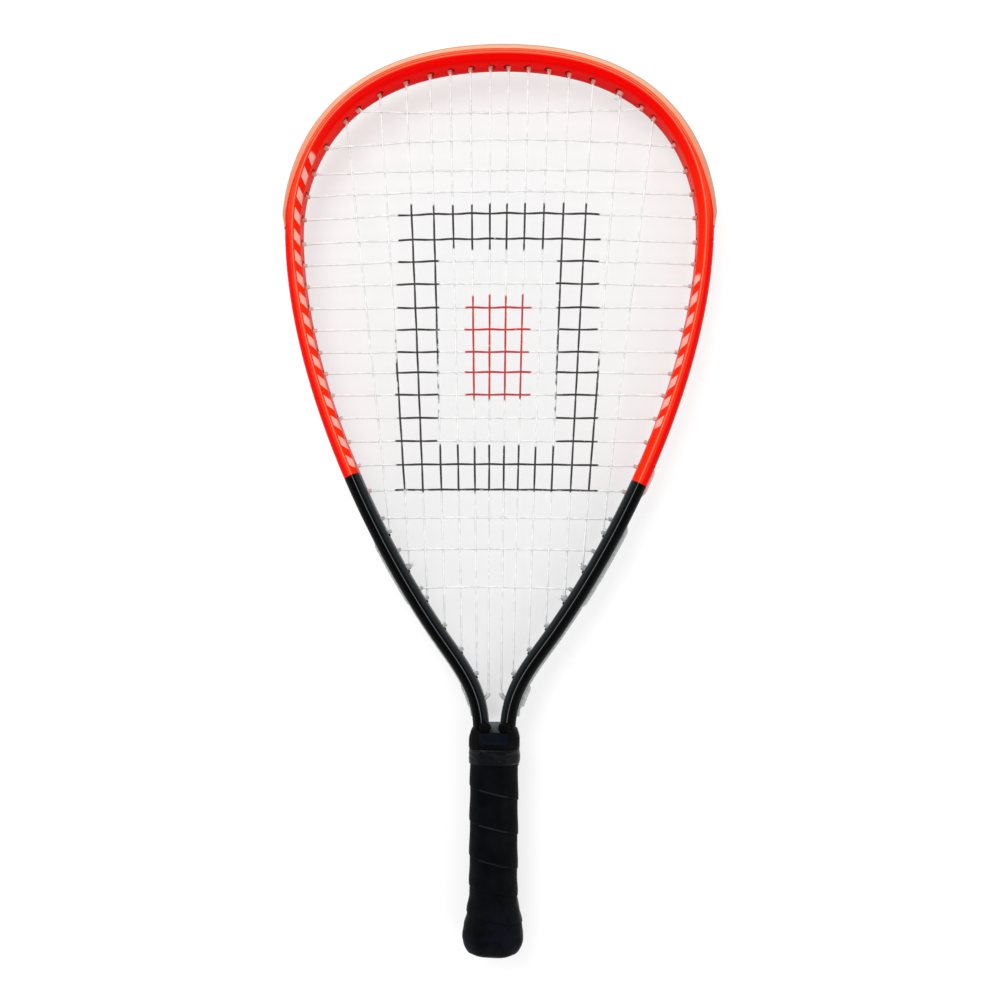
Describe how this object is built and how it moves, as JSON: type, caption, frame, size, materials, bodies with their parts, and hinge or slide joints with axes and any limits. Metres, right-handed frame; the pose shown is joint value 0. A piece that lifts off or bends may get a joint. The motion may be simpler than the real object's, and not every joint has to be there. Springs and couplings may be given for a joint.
{
  "type": "racquetball racket",
  "caption": "Short racket with a teardrop strung head on one bent alloy tube, whose two legs run into a taped octagonal handle with a rubber collar and a flared butt.",
  "frame": {"origin": "middle of the bounding box's base, with the racket lying on its back", "axes": "+Y along the racket from the butt to the tip of the head, +Z out of the front face of the strings, +X to the right seen from the front"},
  "size_m": [0.2656, 0.555, 0.0343],
  "materials": {
    "frame_alloy": "gloss neon orange paint on the head, gloss black paint on the legs",
    "bumper_plastic": "satin pale salmon plastic",
    "clear_plastic": "clear soft plastic",
    "string_nylon": "clear white nylon, with black and red paint in the middle",
    "pallet_plastic": "dark moulded plastic, hidden under the wrap",
    "black_rubber": "satin black rubber",
    "staple_steel": "plain steel wire",
    "grip_tape": "smooth black polyurethane grip tape with a soft sheen",
    "finishing_tape": "black adhesive tape",
    "yoke_plastic": "dark grey moulded plastic"
  },
  "bodies": {
    "root": {"frame_tube": "frame_alloy", "bumper_guard": "bumper_plastic", "left_side_grommet_strip": "clear_plastic", "right_side_grommet_strip": "clear_plastic", "left_lower_grommet_strip": "clear_plastic", "right_lower_grommet_strip": "clear_plastic", "left_throat_sleeve": "clear_plastic", "right_throat_sleeve": "clear_plastic", "main_string": "string_nylon", "cross_string": "string_nylon", "front_handle_pallet": "pallet_plastic", "rear_handle_pallet": "pallet_plastic", "butt_cap": "black_rubber", "front_butt_staple": "staple_steel", "rear_butt_staple": "staple_steel", "grip_wrap": "grip_tape", "finishing_tape": "finishing_tape", "throat_yoke": "yoke_plastic", "grip_collar": "black_rubber"}
  },
  "joints": []
}
